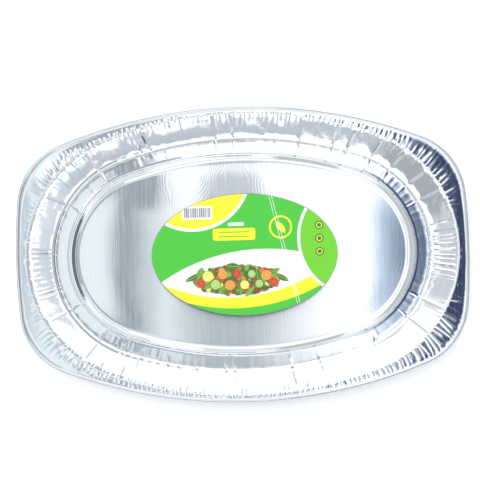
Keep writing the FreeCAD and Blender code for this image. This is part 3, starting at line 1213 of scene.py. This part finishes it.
def print_panels(card):
    """Plain panels, bars, a ring with a leaf in it and three small rings."""
    card.paint(card.panel(-46, 42, 15, 6.5, 1.2), WHITE)
    bars = place_group(BARS, card.place, Pitch=2.1)["Inside"]
    card.paint(card.panel(-46, 42, 13, 4.6, 0.2) * bars, INK)
    card.paint(card.panel(-10, 20, 21, 6, 2.5), YELLOW)
    for y in (22.2, 17.8):
        card.paint(card.panel(-10, y, 15, 0.45, 0.4), GREEN)
    card.paint(card.panel(-8, 30, 8, 1.7, 1.6), WHITE)
    card.paint(card.ring(36, 26, 11.5, 9.6), YELLOW)
    card.paint(card.shape(LEAF, 36, 26, Turn=0.9, Length=7.5, Width=3.2)["Inside"], YELLOW)
    for y in (27, 14, 1):
        card.paint(card.disc(74, y, 4.2), DEEP_GREEN)
        card.paint(card.ring(74, y, 3.0, 2.0), YELLOW)


def print_heap(card):
    """A heap of chopped pieces, with leaves and cut rounds of fruit laid over it."""
    heap = card.shape(CHOPPED, HEAP_X, HEAP_Y, Size=HEAP_SIZE)
    card.paint(heap["Inside"], heap["Color"])
    draw = np.random.default_rng(SEED + 2)
    for step in np.linspace(-1, 1, LEAVES):
        x = HEAP_X + 44 * step
        y = HEAP_Y + draw.uniform(-13, 13) * math.sqrt(1.1 - step * step)
        turn = draw.uniform(0, math.pi)
        length = draw.uniform(6, 9)
        width = draw.uniform(2.0, 3.4)
        leaf = card.shape(LEAF, x, y, Turn=turn, Length=length, Width=width)
        shade = draw.uniform(0.5, 1.4)
        card.paint(leaf["Inside"], tuple(shade * part for part in LEAF_GREEN))
        card.paint(leaf["Vein"], VEIN)
    for number, step in enumerate(np.linspace(-0.9, 0.9, CUT_ROUNDS)):
        rind, flesh, pith, cells = SLICES[(number * 3 + number // 4) % len(SLICES)]
        x = HEAP_X + 40 * step
        y = HEAP_Y + (6 if number % 2 else -5) * (1 - 0.6 * step * step)
        radius = draw.uniform(3.6, 5.4)
        turn = draw.uniform(0, 3)
        inks = {"Rind": opaque(rind), "Flesh": opaque(flesh), "Pith": opaque(pith)}
        cut = card.shape(SLICE, x, y, Radius=radius, Cells=cells, Turn=turn, **inks)
        card.paint(cut["Inside"], cut["Color"])


def pale_crease_lines(card):
    """Lay white over the ink in patches along the two lines of the crease."""
    x, y, _ = card.place.parts()
    from_crease = x - CREASE_X / MM - y * CREASE_LEAN
    line = abs(abs(from_crease) - CREASE_APART / MM / 2)
    patches = card.place.noise(0.35).step(0.3, 0.6, 0.35, 0.85)
    card.paint(line.step(0.15, 0.6, 1, 0) * patches, WHITE)


def printed_card():
    """Coated card, printed with fields of colour, plain panels and a heap of cut fruit."""
    values = {"Roughness": 0.34, "Specular IOR Level": 0.25}
    material, tree, slots = new_material("printed card", values)
    from_middle = object_place(tree).vector("SUBTRACT", (LABEL_X, LABEL_Y, 0))
    place = from_middle.vector("MULTIPLY", (1 / MM, 1 / MM, 0))
    card = Print(place)
    print_fields(card)
    print_panels(card)
    print_heap(card)
    pale_crease_lines(card)
    grain = place.noise(1.2, 4.0)
    card.paint(grain.step(0.3, 0.7, 0.0, 0.07), WHITE)
    connect(card.colour, slots["Base Color"])
    connect(grain.step(0.3, 0.7, 0.28, 0.40), slots["Roughness"])
    raise_surface(slots, grain, 0.02 * MM)
    return material


SWEEP_TONES = (0.90, 0.90, 0.90), (0.92, 0.92, 0.92)
SWEEP_REFLECTED = (0.24, 0.25, 0.27)
GLOW_REFLECTED = (0.15, 0.155, 0.165)
GLOW = (0.20, 0.20, 0.20)


def pale_paper():
    """Matt white sweep that the platter lies on, greyer where it is seen reflected."""
    values = {"Roughness": 0.9, "Specular IOR Level": 0.1, "Emission Strength": 1.0}
    material, tree, slots = new_material("pale sweep", values)
    tone = object_place(tree).noise(8.0).blend(*SWEEP_TONES)
    seen = camera_ray(tree)
    connect(seen.blend(SWEEP_REFLECTED, tone), slots["Base Color"])
    connect(seen.blend(GLOW_REFLECTED, GLOW), slots["Emission Color"])
    return material


# ---- light ---------------------------------------------------------------------------
# Colour of the studio overhead, along X, by the tangent of the tilt from straight up.
OVERHEAD = (
    (-0.70, (1.15, 1.18, 1.20)), (-0.60, (0.50, 0.55, 0.60)), (-0.47, (0.61, 0.685, 0.76)),
    (-0.425, (0.61, 0.685, 0.76)), (-0.405, (0.88, 0.98, 1.02)), (-0.285, (0.90, 0.995, 1.03)),
    (-0.266, (0.73, 0.82, 0.86)), (-0.257, (0.49, 0.555, 0.62)), (-0.241, (0.35, 0.405, 0.46)),
    (-0.225, (0.33, 0.38, 0.43)), (-0.205, (0.55, 0.62, 0.67)), (-0.185, (0.67, 0.76, 0.78)),
    (-0.165, (0.84, 0.92, 0.95)), (-0.145, (0.84, 0.92, 0.95)), (-0.105, (0.62, 0.69, 0.73)),
    (-0.068, (0.50, 0.565, 0.61)), (0.02, (0.50, 0.565, 0.61)), (0.064, (0.73, 0.79, 0.83)),
    (0.115, (0.92, 0.97, 1.01)), (0.20, (1.25, 1.27, 1.30)),
    (0.262, (1.25, 1.27, 1.30)), (0.280, (0.78, 0.92, 1.07)), (0.300, (0.55, 0.67, 0.83)),
    (0.328, (0.40, 0.50, 0.63)), (0.350, (0.163, 0.205, 0.30)), (0.385, (0.15, 0.19, 0.29)),
    (0.405, (0.04, 0.055, 0.125)), (0.47, (0.04, 0.055, 0.125)), (0.52, (0.30, 0.32, 0.36)),
    (0.57, (0.30, 0.32, 0.36)), (0.62, (0.42, 0.46, 0.51)),
)
TILT_RANGE = 1.2
BRIGHT_PANEL = (1.25, 1.27, 1.30)
BACKDROP = (0.98, 0.985, 0.99)
# Panels and gaps over it: from and to along X, from and to along Y, soft edge and colour.
OVERHEAD_PATCHES = (
    (0.29, 9, 0.27, 9, 0.03, (0.90, 0.98, 1.05)),
    (0.29, 9, -9, -0.33, 0.03, (0.90, 0.98, 1.05)),
    (-0.150, -0.062, 0.05, 9, 0.02, (1.10, 1.14, 1.16)),
    (0.03, 0.30, 0.07, 9, 0.03, BRIGHT_PANEL),
    (-9, 0.30, 0.150, 9, 0.02, BRIGHT_PANEL),
    (-0.06, 0.045, 0.05, 0.160, 0.03, (0.60, 0.66, 0.71)),
    (-0.25, -0.157, 0.075, 0.163, 0.006, (0.36, 0.41, 0.45)),
    (-0.25, -0.187, 0.14, 0.24, 0.006, (0.36, 0.41, 0.45)),
    (-0.38, -0.22, 0.180, 0.34, 0.012, (0.40, 0.45, 0.50)),
    (-0.24, -0.135, 0.205, 0.34, 0.012, (0.40, 0.45, 0.50)),
    (-0.45, -0.08, -0.40, -0.29, 0.03, (0.46, 0.50, 0.56)),
    (-9, 9, -9, -0.38, 0.03, (1.10, 1.14, 1.16)),
    (-0.12, 0.14, -0.11, 0.05, 0.012, (1.10, 1.14, 1.16)),
    (-0.05, 0.06, 0.01, 0.05, 0.008, (0.50, 0.55, 0.60)),
    (0.05, 0.135, -0.09, 0.05, 0.008, (0.58, 0.62, 0.60)),
    (-0.150, 0.020, -0.059, 0.004, 0.003, (0.16, 0.19, 0.23)),
)
GREY_WALL = (0.56, 0.62, 0.68)
PALE_WALL = (0.72, 0.79, 0.85)
WEST_WALL = (0.66, 0.71, 0.74)
DIM_CORNER = (0.42, 0.46, 0.48)
SKIRTING = (0.28, 0.30, 0.31)
WALL_GAP = (0.55, 0.60, 0.66)
EAST_COVE = (0.50, 0.54, 0.60)


def overhead_light(x, y, z):
    """Bands along X with panels and gaps laid over them."""
    up = z.larger(0.05)
    along, across = x / up, y / up
    stops = [(0.5 + 0.5 * tilt / TILT_RANGE, colour) for tilt, colour in OVERHEAD]
    overhead = along.maths("MULTIPLY_ADD", 0.5 / TILT_RANGE, 0.5).ramp(stops)
    for left, right, near, far, edge, colour in OVERHEAD_PATCHES:
        patch = along.within(left, right, edge) * across.within(near, far, edge)
        overhead = patch.blend(overhead, colour)
    return overhead


def low_walls(z, east, north):
    """Grey and pale walls near the ground, with a dim corner and a dark foot at both ends."""
    low = north.step(-0.05, 0.15).blend(GREY_WALL, BRIGHT_PANEL)
    low = east.within(0.7, 9, 0.1).blend(low, PALE_WALL)
    low = east.step(-0.80, -0.90).blend(low, WEST_WALL)
    foot = abs(east).maths("POWER", 4.0).maths("MULTIPLY_ADD", 0.16, 0.146)
    dim = z.step(foot, foot + 0.02) * north.step(-0.25, -0.5) * east.step(-0.15, -0.45)
    low = dim.blend(low, DIM_CORNER)
    skirting = abs(east).step(0.72, 0.85) * z.step(0.08, 0.12, 1, 0)
    return skirting.blend(low, SKIRTING)


def high_walls(x, y, z, east, north):
    """Bright walls, broken by grey columns in the north-west corner."""
    columns = (y.maths("ARCTAN2", x) * 7.0).sine()
    gap = z.within(0.38, 0.56, 0.05) * columns.step(-0.4, 0.9, 0.45, 1.0)
    corner = north.step(0.0, 0.4) * east.step(-0.1, -0.45)
    return (gap * corner).blend(BRIGHT_PANEL, WALL_GAP)


def wall_light(x, y, z):
    """Low and high walls all round, with a grey cove over the east side."""
    level = (1.0 - z * z).larger(0.01).maths("SQRT")
    east, north = x / level, y / level
    rise = abs(east).maths("MULTIPLY_ADD", 0.15, 0.147) + east.step(-0.1, -0.5, 0, 0.05)
    low, high = low_walls(z, east, north), high_walls(x, y, z, east, north)
    sides = z.step(rise, rise + 0.024).blend(low, high)
    cove = east.step(0.10, 0.18) * (z - rise).step(0.11, 0.15)
    return cove.blend(sides, EAST_COVE)


def studio_world():
    """What the foil reflects all round, and a plain backdrop for the camera."""
    world = bpy.data.worlds.new("studio")
    bpy.context.scene.world = world
    world.use_nodes = True
    tree = world.node_tree
    x, y, z = add_node(tree, "TexCoord", output="Generated").parts()
    light = z.step(0.70, 0.86).blend(wall_light(x, y, z), overhead_light(x, y, z))
    light = camera_ray(tree).blend(light, BACKDROP)
    connect(light, tree.nodes["Background"].inputs["Color"])


LAMP_SIZE = 1.2
LAMP_POWER = 9
LAMP_PLACE = (-0.25, 0.95, 1.25)
LAMP_TILT = (math.radians(-37), math.radians(-11), 0)


def soft_panel():
    """One square panel above the far side, which is not seen in reflections."""
    lamp = bpy.data.lights.new("soft panel", "AREA")
    lamp.shape = "SQUARE"
    lamp.size = LAMP_SIZE
    lamp.energy = LAMP_POWER
    panel = bpy.data.objects.new("soft panel", lamp)
    panel.location = LAMP_PLACE
    panel.rotation_euler = LAMP_TILT
    panel.visible_glossy = False
    bpy.context.scene.collection.objects.link(panel)


# ---- floor and camera ----------------------------------------------------------------
FLOOR_REACH = 40.0
FLOOR_CORNERS = ((-1, -1), (1, -1), (1, 1), (-1, 1))
FLOOR_GAP = 0.02 * MM
CAMERA_PLACE = (-2.3 * MM, 13.7 * MM, 491 * MM)
CAMERA_TURN = -1.53
LENS = 37.3
SENSOR = 36


def studio_floor():
    """Large pale floor, a hair below the platter."""
    mesh = bpy.data.meshes.new("studio_floor")
    corners = [(x * FLOOR_REACH, y * FLOOR_REACH, 0) for x, y in FLOOR_CORNERS]
    mesh.from_pydata(corners, [], [(0, 1, 2, 3)])
    floor = bpy.data.objects.new("studio_floor", mesh)
    floor.location.z = -FLOOR_GAP
    mesh.materials.append(pale_paper())
    bpy.context.scene.collection.objects.link(floor)


def camera():
    """Looks straight down from above the middle, turned a little."""
    lens = bpy.data.cameras.new("camera")
    lens.sensor_width = SENSOR
    lens.lens = LENS
    lens.clip_start = 10 * MM
    eye = bpy.data.objects.new("camera", lens)
    eye.location = CAMERA_PLACE
    eye.rotation_euler = (0, 0, math.radians(CAMERA_TURN))
    bpy.context.scene.collection.objects.link(eye)
    bpy.context.scene.camera = eye


foil = platter_foil()
foil.data.materials.append(bright_foil())
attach(foil, BODY)
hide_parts("foil_platter")

label = label_card()
label.data.materials.append(printed_card())
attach(label, BODY)
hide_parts("printed_label")

studio_floor()
studio_world()
soft_panel()
camera()
bpy.context.scene.view_settings.view_transform = "Standard"
